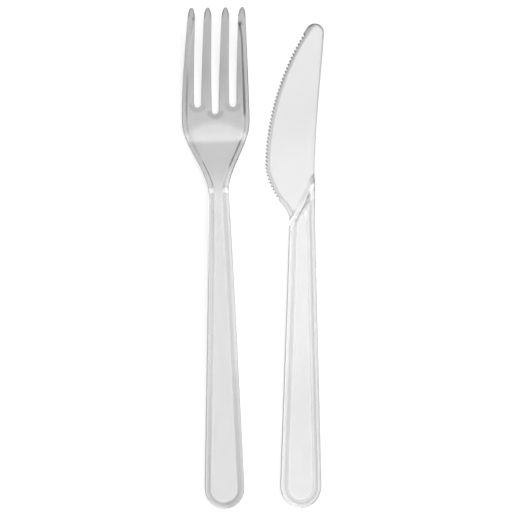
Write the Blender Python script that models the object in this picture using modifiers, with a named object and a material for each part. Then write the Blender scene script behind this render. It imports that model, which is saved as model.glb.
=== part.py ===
"""Fork and knife of a clear disposable cutlery set, lying side by side on a table.

Each is one injection moulding in clear polystyrene: a web stiffened by a raised rim
that runs round its handle. The fork lies on its back, resting on the end of its
handle and the underside of its bowl. The knife lies flat on its back.

Metres, +Z up. The tips point along +Y, and the origin is the middle of the set's
footprint, on the table.
"""

import math

import bmesh
import bpy
from mathutils import Vector

# The set on the table
AXIS_SPACING = 0.0276        # between the two handles, at their ends
FORK_TURN = math.radians(1.38)
KNIFE_TURN = math.radians(-0.33)

# Fork, seen from above
FORK_LENGTH = 0.1800
FORK_HANDLE_WIDTH = 0.0142
FORK_END_DEPTH = 0.0071      # how far the round end of the handle reaches
FORK_NECK_WIDTH = 0.0070
FORK_HEAD_LENGTH = 0.0665    # neck to tips
FORK_HEAD_WIDTH = 0.0244
FORK_SHOULDER_LENGTH = 0.0260
FORK_TIPS_WIDTH = 0.0210     # across all four tines
FORK_TAPER_EASE = 0.0200     # how softly the outer tines start to draw in

# Tines
CENTRE_SLOT_LENGTH = 0.0379
OUTER_SLOT_LENGTH = 0.0355
CENTRE_SLOT_WIDTH = 0.0026   # at its root
OUTER_SLOT_WIDTH = 0.0027
OUTER_SLOT_OFFSET = 0.0064
INNER_TIP_OFFSET = 0.0032
OUTER_TIP_OFFSET = 0.0092
TINE_WIDTH = 0.0028          # where the point starts
POINT_LENGTH = 0.0042
POINT_FLAT = 0.0004

# Fork, seen from the side
NECK_RISE = 0.0040
NECK_FROM_END = 0.1040
BOWL_FROM_TIPS = 0.0410
TIP_RISE = 0.0105
HANDLE_SLOPE = 0.045
TIP_SLOPE = 0.36
BOWL_DISH = 0.0007           # how far the bowl's sides stand above its middle

# Fork, section
FORK_WEB = 0.0013
FORK_RIM_HEIGHT = 0.0027
FORK_RIM_WIDTH = 0.0014
FORK_RIM_WALL = 0.0007       # width of the sloping inner wall
HEAD_WEB = 0.0016
HEAD_RIM_HEIGHT = 0.0022
HEAD_RIM_WALL = 0.0004
TIP_WEB = 0.0012
TIP_RIM_HEIGHT = 0.0015
RIM_START = 0.0655           # where the handle's rims begin, back from the tips
RIM_RAMP = 0.0012
ARCH_LENGTH = 0.0120         # how far from the tips the outer tines' rims widen
ARCH_GAIN = 0.0006
ARCH_GAP = 0.0042            # from the tips to where both sides of that rim meet
ARCH_RAMP = 0.0006
FORK_EDGE_ROUND = 0.0004

# Knife, seen from above
KNIFE_LENGTH = 0.1751
KNIFE_HANDLE_WIDTH = 0.0148
KNIFE_END_DEPTH = 0.0080
KNIFE_NECK_WIDTH = 0.0090
BLADE_LENGTH = 0.0714        # tip to the foot of the heel
SPINE_STRAIGHT = 0.0148      # how far the spine runs straight above the heel's foot
TIP_RADIUS = 0.0033
TIP_OFFSET = 0.0044
BELLY_DEPTH = 0.0136
BELLY_HEIGHT = 0.0205        # above the heel's foot, like the heights that follow
LAST_TOOTH_DEPTH = 0.0086
LAST_TOOTH_HEIGHT = 0.0075
HEEL_NOTCH = 0.0002
TIP_EDGE_LEAN = math.radians(35.0)
LAST_TOOTH_LEAN = math.radians(34.0)
HEEL_LEAN = math.radians(48.0)

# Knife, section
KNIFE_HEIGHT = 0.0028
KNIFE_WEB = 0.0013
KNIFE_RIM_WIDTH = 0.0014
KNIFE_RIM_WALL = 0.0012
BLADE_THICKNESS = 0.0015
EDGE_THICKNESS = 0.0005
EDGE_BEVEL = 0.0017
SPINE_THICKNESS = 0.0011
SPINE_BEVEL = 0.0005
KNIFE_EDGE_ROUND = 0.0004

# Teeth
TOOTH_PITCH = 0.00138
TOOTH_DEPTH = 0.0010
TOOTH_FLAT = 0.00014
PLAIN_LENGTH = 0.0028        # left without teeth beside the tip

# Bolster, the oblique ridge between handle and blade
BOLSTER_HEIGHT = 0.0180      # its line towards the blade, carried on to the spine
BOLSTER_SLOPE = 2.10         # along the knife for each unit across it
BOLSTER_WALL = 0.0008
BOLSTER_CORNER = 0.0016      # where that line bends to meet the spine squarely
POCKET_HEIGHT = 0.0104       # the recess's oblique end, carried on to the spine
POCKET_SLOPE = 1.84
POCKET_WALL = 0.0008
POCKET_CORNER = 0.0012       # how much of that end is squared off beside the spine

# How finely curves are divided
END_STEPS = 12
HANDLE_STEP = 0.0050
HEAD_STEP = 0.0015
POINT_STEPS = 8
SPINE_STEPS = 18
TIP_STEPS = 16
HEEL_STEPS = 10
EDGE_STEP = 0.0011
CUT_MARGIN = 0.0030
BEVEL_MARGIN = 0.0001
FLAT_ANGLE = math.radians(0.02)


def clear_scene():
    for thing in list(bpy.data.objects):
        bpy.data.objects.remove(thing)


def new_collection(name):
    group = bpy.data.collections.new(name)
    bpy.context.scene.collection.children.link(group)
    return group


def clear_polystyrene(name, colour, roughness):
    material = bpy.data.materials.new(name)
    material.use_nodes = True
    shader = material.node_tree.nodes["Principled BSDF"]
    shader.inputs["Base Color"].default_value = (*colour, 1.0)
    shader.inputs["Roughness"].default_value = roughness
    shader.inputs["Metallic"].default_value = 0.0
    shader.inputs["IOR"].default_value = 1.59
    shader.inputs["Transmission Weight"].default_value = 0.9
    return material


def finish_mesh(body, name, group):
    bmesh.ops.remove_doubles(body, verts=body.verts, dist=1e-6)
    bmesh.ops.dissolve_degenerate(body, edges=body.edges, dist=1e-6)
    bmesh.ops.recalc_face_normals(body, faces=body.faces)
    mesh = bpy.data.meshes.new(name)
    body.to_mesh(mesh)
    body.free()
    piece = bpy.data.objects.new(name, mesh)
    group.objects.link(piece)
    return piece


def loft(name, rows, group, last_row_closed=False):
    """Skins equal rows of points, and closes the last one with a face."""
    body = bmesh.new()
    rings = [[body.verts.new(point) for point in row] for row in rows]
    for near, far in zip(rings, rings[1:]):
        for i in range(len(near) - 1):
            body.faces.new((near[i], near[i + 1], far[i + 1], far[i]))
    if last_row_closed:
        body.faces.new(rings[-1])
    return finish_mesh(body, name, group)


def stacked(name, layers, group):
    """A solid through closed rings of as many points each."""
    body = bmesh.new()
    rings = [[body.verts.new(point) for point in ring] for ring in layers]
    for low, high in zip(rings, rings[1:]):
        for i in range(len(low)):
            body.faces.new((low[i - 1], low[i], high[i], high[i - 1]))
    body.faces.new(rings[0])
    body.faces.new(rings[-1])
    return finish_mesh(body, name, group)


def level(outline, height):
    return [(x, y, height) for x, y in outline]


def extruded(name, outline, low, high, group):
    """A flat outline, filled and extruded as a 2D curve, then made a mesh."""
    curve = bpy.data.curves.new(name + "_outline", "CURVE")
    curve.dimensions = "2D"
    curve.fill_mode = "BOTH"
    curve.extrude = (high - low) / 2
    line = curve.splines.new("POLY")
    line.points.add(len(outline) - 1)
    for point, (x, y) in zip(line.points, outline):
        point.co = (x, y, 0, 1)
    line.use_cyclic_u = True
    guide = bpy.data.objects.new(name + "_outline", curve)
    group.objects.link(guide)
    mesh = bpy.data.meshes.new_from_object(
        guide.evaluated_get(bpy.context.evaluated_depsgraph_get())
    )
    body = bmesh.new()
    body.from_mesh(mesh)
    bmesh.ops.translate(body, verts=body.verts, vec=(0, 0, (low + high) / 2))
    bmesh.ops.remove_doubles(body, verts=body.verts, dist=1e-6)
    inner = [edge for edge in body.edges if edge.calc_face_angle(1) < FLAT_ANGLE]
    bmesh.ops.dissolve_edges(body, edges=inner)
    bpy.data.objects.remove(guide)
    return finish_mesh(body, name, group)


def cut(piece, cutter):
    cutter.hide_render = True
    cutter.display_type = "WIRE"
    cutter.parent = piece.parent
    modifier = piece.modifiers.new(cutter.name, "BOOLEAN")
    modifier.object = cutter
    modifier.operation = "DIFFERENCE"
    modifier.solver = "EXACT"


def shade(piece, material):
    piece.data.materials.append(material)
    piece.data.shade_smooth()
    piece.data.set_sharp_from_angle(angle=math.radians(30))


def ease(share):
    """0 to 1 with level ends."""
    share = min(1.0, max(0.0, share))
    return share * share * (3 - 2 * share)


def mix(start, end, share):
    return start + (end - start) * min(1.0, max(0.0, share))


def hermite(start, end, start_slope, end_slope, run, share):
    """Height along a cubic between two points of known slope."""
    return (
        start * (1 - ease(share))
        + end * ease(share)
        + run * start_slope * share * (1 - share) ** 2
        - run * end_slope * share**2 * (1 - share)
    )


def bezier(first, pull, push, last, steps):
    """Points along a cubic Bezier, its first point left out."""
    points = []
    for i in range(1, steps + 1):
        t = i / steps
        u = 1 - t
        points.append(
            u**3 * first + 3 * u * u * t * pull + 3 * u * t * t * push + t**3 * last
        )
    return points


def stations(start, end, step):
    """Even places from start to end, start left out."""
    count = max(1, round((end - start) / step))
    return [start + (end - start) * (i + 1) / count for i in range(count)]


# Fork
FORK_NECK = FORK_LENGTH - FORK_HEAD_LENGTH
FORK_WIDEST = FORK_NECK + FORK_SHOULDER_LENGTH
FORK_POINTS = FORK_LENGTH - POINT_LENGTH
FORK_RIM_START = FORK_LENGTH - RIM_START
FORK_BOWL = FORK_LENGTH - BOWL_FROM_TIPS


def tine_taper(along):
    past = max(0.0, along - FORK_WIDEST)
    return math.hypot(past, FORK_TAPER_EASE) - FORK_TAPER_EASE


def point_width(along):
    """Share of a tine's width that its point keeps, an ellipse with a blunt end."""
    blunt = math.sqrt(1 - (POINT_FLAT / TINE_WIDTH) ** 2)
    share = min(1.0, max(0.0, (along - FORK_POINTS) / POINT_LENGTH))
    return math.sqrt(1 - (share * blunt) ** 2)


def fork_half_width(along):
    """Half the width of the fork's outline, its slots left out."""
    if along <= FORK_NECK:
        share = (along - FORK_END_DEPTH) / (FORK_NECK - FORK_END_DEPTH)
        return mix(FORK_HANDLE_WIDTH, FORK_NECK_WIDTH, share) / 2
    if along <= FORK_WIDEST:
        share = ease((along - FORK_NECK) / FORK_SHOULDER_LENGTH)
        return mix(FORK_NECK_WIDTH, FORK_HEAD_WIDTH, share) / 2
    draw = (FORK_HEAD_WIDTH - FORK_TIPS_WIDTH) / 2
    straight = min(along, FORK_POINTS)
    side = FORK_HEAD_WIDTH / 2 - draw * tine_taper(straight) / tine_taper(FORK_POINTS)
    return OUTER_TIP_OFFSET + (side - OUTER_TIP_OFFSET) * point_width(along)


def fork_rise(along):
    """Height of the underside above the table: handle end and bowl rest on it."""
    if along <= NECK_FROM_END:
        share = along / NECK_FROM_END
        return hermite(0, NECK_RISE, HANDLE_SLOPE, 0, NECK_FROM_END, share)
    if along <= FORK_BOWL:
        share = (along - NECK_FROM_END) / (FORK_BOWL - NECK_FROM_END)
        return hermite(NECK_RISE, 0, 0, 0, 1, share)
    share = (along - FORK_BOWL) / BOWL_FROM_TIPS
    return hermite(0, TIP_RISE, 0, TIP_SLOPE, BOWL_FROM_TIPS, share)


def bowl_dish(along):
    """How far the sides stand up from the middle."""
    rising = ease((along - FORK_NECK) / (FORK_BOWL - FORK_NECK))
    fading = 1 - 0.6 * ease((along - FORK_BOWL) / BOWL_FROM_TIPS)
    return BOWL_DISH * rising * fading


def fork_web(along):
    head = mix(FORK_WEB, HEAD_WEB, ease((along - FORK_NECK) / FORK_SHOULDER_LENGTH))
    return mix(head, TIP_WEB, (along - FORK_BOWL) / BOWL_FROM_TIPS)


def fork_rim(along):
    head = mix(HEAD_RIM_HEIGHT, TIP_RIM_HEIGHT, (along - FORK_BOWL) / BOWL_FROM_TIPS)
    return mix(FORK_RIM_HEIGHT, head, (along - FORK_RIM_START) / RIM_RAMP)


def fork_rim_width(along):
    """The rim widens on the outer tines until it closes in an arch."""
    share = (along - FORK_LENGTH + ARCH_LENGTH) / (ARCH_LENGTH - ARCH_GAP)
    return FORK_RIM_WIDTH + ARCH_GAIN * ease(share)


def fork_rim_wall(along):
    return mix(FORK_RIM_WALL, HEAD_RIM_WALL, (along - FORK_RIM_START) / RIM_RAMP)


def end_place(turn):
    """Plan position on the handle's round end, for any inset from its edge."""
    half = fork_half_width(FORK_END_DEPTH)

    def place(inset):
        return (
            (half - inset) * math.sin(turn),
            inset + (FORK_END_DEPTH - inset) * (1 - math.cos(turn)),
        )

    return place


def straight_place(along):
    """Plan position on a straight row across the fork, for any inset."""
    half = fork_half_width(along)

    def place(inset):
        return half - inset, along

    return place


def fork_row(place):
    """Half a section, from the middle of the web round the edge to the middle below."""
    nominal = place(0)[1]
    rim_width = fork_rim_width(nominal)
    foot = rim_width + fork_rim_wall(nominal)
    soft = FORK_EDGE_ROUND
    corner = soft * (1 - math.sqrt(0.5))
    web, rim = fork_web(nominal), fork_rim(nominal)
    closed = (nominal - FORK_LENGTH + ARCH_GAP) / ARCH_RAMP
    line = [(foot, share, web) for share in (0, 0.35, 0.7)]
    line += [
        (foot, 1, mix(web, rim, closed)),
        (rim_width, 1, rim),
        (soft, 1, rim),
        (corner, 1, rim - corner),
        (0, 1, rim - soft),
        (0, 1, soft),
        (corner, 1, corner),
        (soft, 1, 0),
    ]
    line += [(soft, share, 0) for share in (0.7, 0.35, 0)]
    points = []
    for inset, share, height in line:
        side, along = place(inset)
        side *= share
        dish = bowl_dish(along) * (side / fork_half_width(along)) ** 2
        points.append((side, along, fork_rise(along) + dish + height))
    return points


def fork_rows():
    turns = [math.pi / 2 * i / END_STEPS for i in range(END_STEPS)]
    rows = [fork_row(end_place(turn)) for turn in turns]
    places = [FORK_END_DEPTH]
    places += stations(FORK_END_DEPTH, FORK_NECK, HANDLE_STEP)
    places += [FORK_RIM_START, FORK_RIM_START + RIM_RAMP]
    places += stations(FORK_RIM_START + RIM_RAMP, FORK_POINTS, HEAD_STEP)
    for i in range(1, POINT_STEPS + 1):
        places.append(FORK_POINTS + POINT_LENGTH * math.sin(math.pi / 2 * i / POINT_STEPS))
    return rows + [fork_row(straight_place(along)) for along in places]


def tine_edge(tip_offset, root_x, root_along, toward):
    """One side of a slot, from its root out along a tine and round the tine's point."""
    edge_x = tip_offset + toward * TINE_WIDTH / 2
    points = [(root_x, root_along), (edge_x, FORK_POINTS)]
    for i in range(1, POINT_STEPS + 1):
        along = FORK_POINTS + POINT_LENGTH * math.sin(math.pi / 2 * i / POINT_STEPS)
        x = tip_offset + (edge_x - tip_offset) * point_width(along)
        points.append((x, along))
    points.append((points[-1][0], FORK_LENGTH + CUT_MARGIN))
    return points


def slot_outline(centre, width, length, left_tip, right_tip):
    root = FORK_LENGTH - length + width / 2
    left = tine_edge(left_tip, centre - width / 2, root, 1)
    right = tine_edge(right_tip, centre + width / 2, root, -1)
    arc = []
    for i in range(1, END_STEPS):
        turn = math.pi * i / END_STEPS
        arc.append((centre - width / 2 * math.cos(turn), root - width / 2 * math.sin(turn)))
    return left[::-1] + arc + right


def make_fork(group, cutters, stand):
    fork = loft("fork", fork_rows(), group, last_row_closed=True)
    fork.parent = stand
    mirror = fork.modifiers.new("mirror", "MIRROR")
    mirror.merge_threshold = 1e-5
    slots = (
        ("centre_slot", 0, CENTRE_SLOT_WIDTH, CENTRE_SLOT_LENGTH,
         -INNER_TIP_OFFSET, INNER_TIP_OFFSET),
        ("left_slot", -OUTER_SLOT_OFFSET, OUTER_SLOT_WIDTH, OUTER_SLOT_LENGTH,
         -OUTER_TIP_OFFSET, -INNER_TIP_OFFSET),
        ("right_slot", OUTER_SLOT_OFFSET, OUTER_SLOT_WIDTH, OUTER_SLOT_LENGTH,
         INNER_TIP_OFFSET, OUTER_TIP_OFFSET),
    )
    top = TIP_RISE + HEAD_RIM_HEIGHT + CUT_MARGIN
    for name, *sizes in slots:
        outline = slot_outline(*sizes)
        cut(fork, extruded(name, outline, -CUT_MARGIN, top, cutters))
    shade(fork, clear_polystyrene("fork_polystyrene", (0.90, 0.91, 0.91), 0.08))
    return fork


# Knife
KNIFE_NECK = KNIFE_LENGTH - BLADE_LENGTH
BOLSTER_TOP = KNIFE_NECK + BOLSTER_HEIGHT - BOLSTER_CORNER * (BOLSTER_SLOPE - 0.9)


def knife_half_width(along):
    share = (along - KNIFE_END_DEPTH) / (KNIFE_NECK - KNIFE_END_DEPTH)
    return mix(KNIFE_HANDLE_WIDTH, KNIFE_NECK_WIDTH, share) / 2


def spine():
    """The back of the blade, from the neck up to the round tip."""
    half = KNIFE_NECK_WIDTH / 2
    start = Vector((half, KNIFE_NECK + SPINE_STRAIGHT))
    end = Vector((TIP_OFFSET + TIP_RADIUS, KNIFE_LENGTH - TIP_RADIUS))
    run = (end - start).y
    pull = start + Vector((0, run * 0.37))
    push = end - Vector(((end - start).x, run)) * 0.27
    return [start] + bezier(start, pull, push, end, SPINE_STEPS)


def round_tip():
    """From the spine over the tip to where the cutting edge leaves it."""
    centre = Vector((TIP_OFFSET, KNIFE_LENGTH - TIP_RADIUS))
    sweep = math.pi - TIP_EDGE_LEAN
    points = []
    for i in range(1, TIP_STEPS + 1):
        turn = sweep * i / TIP_STEPS
        points.append(centre + TIP_RADIUS * Vector((math.cos(turn), math.sin(turn))))
    return points


def toothed_edge():
    """The line through the teeth's points, from the tip down round the belly."""
    start = round_tip()[-1]
    belly = Vector((-BELLY_DEPTH, KNIFE_NECK + BELLY_HEIGHT))
    end = Vector((-LAST_TOOTH_DEPTH, KNIFE_NECK + LAST_TOOTH_HEIGHT))
    out = Vector((math.sin(TIP_EDGE_LEAN), math.cos(TIP_EDGE_LEAN)))
    back = Vector((math.sin(LAST_TOOTH_LEAN), -math.cos(LAST_TOOTH_LEAN)))
    upper = start.y - belly.y
    lower = belly.y - end.y
    steps = max(4, round(upper / EDGE_STEP))
    points = bezier(
        start, start - out * upper * 0.29, belly + Vector((0, upper * 0.37)), belly, steps
    )
    steps = max(3, round(lower / EDGE_STEP))
    return [start] + points + bezier(
        belly, belly - Vector((0, lower * 0.35)), end - back * lower * 0.35, end, steps
    )


def heel():
    """The plain concave curve below the last tooth, ending in a small notch."""
    start = toothed_edge()[-1]
    end = Vector((HEEL_NOTCH - KNIFE_NECK_WIDTH / 2, KNIFE_NECK))
    back = Vector((math.sin(HEEL_LEAN), -math.cos(HEEL_LEAN)))
    drop = start.y - end.y
    pull = start + back * drop * 0.42
    push = end + Vector((0, drop * 0.3))
    return bezier(start, pull, push, end, HEEL_STEPS)


def handle_end(inset, steps):
    """The handle's round end from right to left, drawn in by an inset."""
    half = knife_half_width(KNIFE_END_DEPTH) - inset
    depth = KNIFE_END_DEPTH - inset
    points = []
    for i in range(steps + 1):
        turn = math.pi * i / steps
        points.append((half * math.cos(turn), KNIFE_END_DEPTH - depth * math.sin(turn)))
    return points


def teeth():
    """A zigzag with blunt points along the toothed edge, which stays plain beside the tip."""
    path = toothed_edge()
    count = round(path_length(path) / TOOTH_PITCH)
    points = []
    for i, (point, inward) in enumerate(sideways(spaced(path, 2 * count))):
        along = Vector((inward.y, -inward.x))
        if i % 2:
            points.append(point + inward * TOOTH_DEPTH)
        else:
            points.append(point - along * TOOTH_FLAT / 2)
            points.append(point + along * TOOTH_FLAT / 2)
    first = 3 * round(PLAIN_LENGTH / TOOTH_PITCH) + 1
    return [path[0]] + points[first:-2] + [path[-1]]


def knife_outline():
    half = KNIFE_NECK_WIDTH / 2
    outline = [tuple(point) for point in spine() + round_tip() + teeth()[1:] + heel()]
    outline.append((-half, KNIFE_NECK - HEEL_NOTCH))
    outline += handle_end(0, 2 * END_STEPS)[::-1]
    return outline


def sideways(path):
    """Each point of a path with its unit normal, to the path's left."""
    pairs = []
    for i, point in enumerate(path):
        step = path[min(i + 1, len(path) - 1)] - path[max(i - 1, 0)]
        pairs.append((point, Vector((-step.y, step.x)).normalized()))
    return pairs


def spaced(path, count):
    """Points at even distances along a path."""
    lengths = [0.0]
    for near, far in zip(path, path[1:]):
        lengths.append(lengths[-1] + (far - near).length)
    points = []
    segment = 0
    for i in range(count + 1):
        target = lengths[-1] * i / count
        while segment < len(path) - 2 and lengths[segment + 1] < target:
            segment += 1
        share = (target - lengths[segment]) / (lengths[segment + 1] - lengths[segment])
        points.append(path[segment].lerp(path[segment + 1], share))
    return points


def path_length(path):
    return sum((far - near).length for near, far in zip(path, path[1:]))


def bevel_cutter(cutters):
    """A thin wedge swept round the blade: narrow on the spine, wide on the edge."""
    back = [point for point in spine() if point.y > BOLSTER_TOP]
    front = round_tip()
    path = back + front + toothed_edge()[1:] + heel()[:-1]
    rows = []
    for i, (point, inward) in enumerate(sideways(path)):
        share = ease((i - len(back)) / len(front))
        width = mix(SPINE_BEVEL, EDGE_BEVEL, share)
        drop = BLADE_THICKNESS - mix(SPINE_THICKNESS, EDGE_THICKNESS, share)
        rise = drop / width
        inner = point + inward * (width + BEVEL_MARGIN)
        outer = point - inward * CUT_MARGIN
        rows.append([
            (inner.x, inner.y, BLADE_THICKNESS + rise * BEVEL_MARGIN),
            (outer.x, outer.y, BLADE_THICKNESS - drop - rise * CUT_MARGIN),
            (outer.x, outer.y, BLADE_THICKNESS + CUT_MARGIN / 3),
        ])
    return stacked("edge_bevel", rows, cutters)


def bolster_line(across):
    """Where the bolster's wall meets the blade's face."""
    past = across - KNIFE_NECK_WIDTH / 2
    return KNIFE_NECK + BOLSTER_HEIGHT + BOLSTER_SLOPE * past


def blade_relief(cutters):
    """What stands above the blade's face, down to the bolster's sloping wall."""
    half = KNIFE_NECK_WIDTH / 2
    shift = Vector((BOLSTER_SLOPE, -1)).normalized() * BOLSTER_WALL
    corner = half - BOLSTER_CORNER
    foot = -half - HEEL_NOTCH
    far_left = -BELLY_DEPTH - CUT_MARGIN
    line = [
        Vector((half + CUT_MARGIN, BOLSTER_TOP)),
        Vector((half - BOLSTER_CORNER / 2, (BOLSTER_TOP * 2 + bolster_line(corner)) / 3)),
        Vector((corner, bolster_line(corner))),
        Vector((foot, bolster_line(foot))),
        Vector((far_left, bolster_line(foot))),
    ]
    around = [
        Vector((far_left, KNIFE_LENGTH + CUT_MARGIN)),
        Vector((TIP_OFFSET + TIP_RADIUS + CUT_MARGIN, KNIFE_LENGTH + CUT_MARGIN)),
    ]
    low = line + around
    high = [point + shift for point in line] + around
    layers = (
        level(low, BLADE_THICKNESS),
        level(high, KNIFE_HEIGHT),
        level(high, KNIFE_HEIGHT + CUT_MARGIN),
    )
    return stacked("blade_relief", layers, cutters)


def pocket_outline(inset):
    """The handle's recess at one depth, with its oblique end beside the bolster."""
    half = KNIFE_NECK_WIDTH / 2
    foot = KNIFE_RIM_WIDTH + KNIFE_RIM_WALL
    climb = (foot - inset) / KNIFE_RIM_WALL * POCKET_WALL
    spine_along = KNIFE_NECK + POCKET_HEIGHT + climb * math.hypot(1, POCKET_SLOPE)
    corner = half - inset - POCKET_CORNER
    places = [(side, spine_along + POCKET_SLOPE * (side - half)) for side in (corner, inset - half)]
    squared = (half - inset, places[0][1])
    return [squared] + places + handle_end(inset, 2 * END_STEPS)[::-1]


def handle_pocket(cutters):
    foot = KNIFE_RIM_WIDTH + KNIFE_RIM_WALL
    layers = (
        level(pocket_outline(foot), KNIFE_WEB),
        level(pocket_outline(KNIFE_RIM_WIDTH), KNIFE_HEIGHT),
        level(pocket_outline(KNIFE_RIM_WIDTH), KNIFE_HEIGHT + CUT_MARGIN),
    )
    return stacked("handle_pocket", layers, cutters)


def mark_soft_edges(mesh):
    """Weights the rims of both faces for rounding, apart from the cutting side."""
    cutting_side = round_tip()[-1].x
    weights = mesh.attributes.new("bevel_weight_edge", "FLOAT", "EDGE")
    for edge in mesh.edges:
        near, far = (mesh.vertices[i].co for i in edge.vertices)
        middle = (near + far) / 2
        upright = abs(near.z - far.z) > KNIFE_HEIGHT / 2
        cutting = middle.x < cutting_side and middle.y > KNIFE_NECK - HEEL_NOTCH
        weights.data[edge.index].value = 0.0 if upright or cutting else 1.0


def make_knife(group, cutters, stand):
    knife = extruded("knife", knife_outline(), 0, KNIFE_HEIGHT, group)
    knife.parent = stand
    mark_soft_edges(knife.data)
    rounding = knife.modifiers.new("rounded_edges", "BEVEL")
    rounding.width = KNIFE_EDGE_ROUND
    rounding.segments = 2
    rounding.limit_method = "WEIGHT"
    rounding.use_clamp_overlap = False
    for make_cutter in (handle_pocket, blade_relief, bevel_cutter):
        cut(knife, make_cutter(cutters))
    shade(knife, clear_polystyrene("knife_polystyrene", (0.93, 0.94, 0.94), 0.08))
    return knife


def stand_at(name, across, turn, group):
    stand = bpy.data.objects.new(name, None)
    stand.location = (across, 0, 0)
    stand.rotation_euler = (0, 0, turn)
    group.objects.link(stand)
    return stand


def centre_on_table(pieces, stands):
    """Moves the stands so that the set's box is centred on the origin and rests at 0."""
    bpy.context.view_layer.update()
    shapes = bpy.context.evaluated_depsgraph_get()
    corners = []
    for piece in pieces:
        shape = piece.evaluated_get(shapes)
        corners += [shape.matrix_world @ vertex.co for vertex in shape.data.vertices]
    low = Vector([min(point[i] for point in corners) for i in range(3)])
    high = Vector([max(point[i] for point in corners) for i in range(3)])
    for stand in stands:
        stand.location -= Vector(((low.x + high.x) / 2, (low.y + high.y) / 2, low.z))


def main():
    clear_scene()
    group = new_collection("plastic_cutlery_set")
    cutters = new_collection("cutters")
    fork_stand = stand_at("fork_stand", -AXIS_SPACING / 2, FORK_TURN, group)
    knife_stand = stand_at("knife_stand", AXIS_SPACING / 2, KNIFE_TURN, group)
    fork = make_fork(group, cutters, fork_stand)
    knife = make_knife(group, cutters, knife_stand)
    centre_on_table((fork, knife), (fork_stand, knife_stand))


main()
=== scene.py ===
"""Looks of a clear disposable fork and knife, lying side by side on a pale table.

Metres, +Z up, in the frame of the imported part: the tips point along +Y.
"""

import math

import bpy
import numpy as np
from mathutils import Matrix, Vector


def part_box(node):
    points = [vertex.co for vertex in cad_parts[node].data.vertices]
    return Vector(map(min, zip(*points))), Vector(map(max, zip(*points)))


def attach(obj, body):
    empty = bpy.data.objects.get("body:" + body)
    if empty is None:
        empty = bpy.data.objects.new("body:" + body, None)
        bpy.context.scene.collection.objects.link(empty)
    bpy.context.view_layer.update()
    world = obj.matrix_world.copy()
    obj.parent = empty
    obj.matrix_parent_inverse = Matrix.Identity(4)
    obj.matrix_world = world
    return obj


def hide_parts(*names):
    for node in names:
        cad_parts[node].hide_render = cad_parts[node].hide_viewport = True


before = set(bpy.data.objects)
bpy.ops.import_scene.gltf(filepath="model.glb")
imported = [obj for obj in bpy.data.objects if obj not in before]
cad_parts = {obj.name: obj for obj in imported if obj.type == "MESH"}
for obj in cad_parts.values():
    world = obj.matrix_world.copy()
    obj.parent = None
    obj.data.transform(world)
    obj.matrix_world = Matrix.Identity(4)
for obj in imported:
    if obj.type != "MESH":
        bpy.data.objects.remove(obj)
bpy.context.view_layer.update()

# Fork
# One injection moulding in clear polystyrene: a thin web whose raised rim runs round
# the handle and on along the outer tines. Its bowl and handle end touch the table.
FORK_LENGTH = 0.1800
FORK_TURN = math.radians(1.38)
HANDLE_WIDTH = 0.0142
END_DEPTH = 0.0071           # how far the round end of the handle reaches
NECK_WIDTH = 0.0070
NECK_ALONG = 0.1135
SHOULDER_LENGTH = 0.0260
HEAD_WIDTH = 0.0244
TIPS_WIDTH = 0.0210
TAPER_EASE = 0.0200
SLOT_ROOTS = (0.14585, 0.1434, 0.14585)   # centres of the round ends of the slots
SLOT_CENTRES = (-0.0064, 0.0, 0.0064)
SLOT_WIDTHS = (0.0027, 0.0026, 0.0027)
TINE_TIPS = (-0.0092, -0.0032, 0.0032, 0.0092)
TINE_WIDTH = 0.0028          # where its point starts
POINT_LENGTH = 0.0042
POINT_FLAT = 0.0004
RIM_WIDTH = 0.0014
HANDLE_WALL = 0.0007         # width of the rim's sloping inner wall
HEAD_WALL = 0.0004
RIM_START = 0.1145           # where the handle's higher rims begin
RIM_RAMP = 0.0012
ARCH_LENGTH = 0.0120         # how far from the tips the outer tines' rims widen
ARCH_GAP = 0.0042            # from the tips to where the two sides of the rim meet
ARCH_GAIN = 0.0006
OUTER_TINES = 0.0062         # farther from the middle than this, near the tips
SOFT_EDGE = 0.00022
POINTS_START = FORK_LENGTH - POINT_LENGTH
WIDEST = NECK_ALONG + SHOULDER_LENGTH
BEFORE_CREST = 0.0002        # from the last point on a rim's flat to where its wall starts
PAST_WALL = 0.0003           # from a wall's foot to the next point
RIM_FILL = 0.85              # most of a tine's half width that its rim and wall may take
HANDLE_STEP = 0.0038         # between rows on the plain handle
HEAD_STEP = 0.0014           # between rows on the neck, palm and tines
HANDLE_ROWS_END = 0.1085
NECK_ROWS_START = 0.1100
PALM_ROWS_START = 0.1172
ROOT_STEP = 0.0006           # between rows next to the slots' roots
ROOT_BEND = 0.0030           # how far before its root a slot's round end bends the rows
SLOT_STEPS = 6               # columns across a slot, and points round its end
POINT_STEPS = 8              # rows along the tines' points
SAME = 1e-9                  # places nearer than this are one place


def ease(share):
    """0 to 1 with level ends, for a number or an array."""
    share = np.clip(share, 0.0, 1.0)
    return share * share * (3 - 2 * share)


def mix(start, end, share):
    return start + (end - start) * np.clip(share, 0.0, 1.0)


def point_width(along):
    """Share of a tine's width that its point keeps, an ellipse with a blunt end."""
    blunt = math.sqrt(1 - (POINT_FLAT / TINE_WIDTH) ** 2)
    return np.sqrt(1 - (blunt * np.clip((along - POINTS_START) / POINT_LENGTH, 0, 1)) ** 2)


def taper(along):
    return np.hypot(np.maximum(0.0, along - WIDEST), TAPER_EASE) - TAPER_EASE


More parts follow.
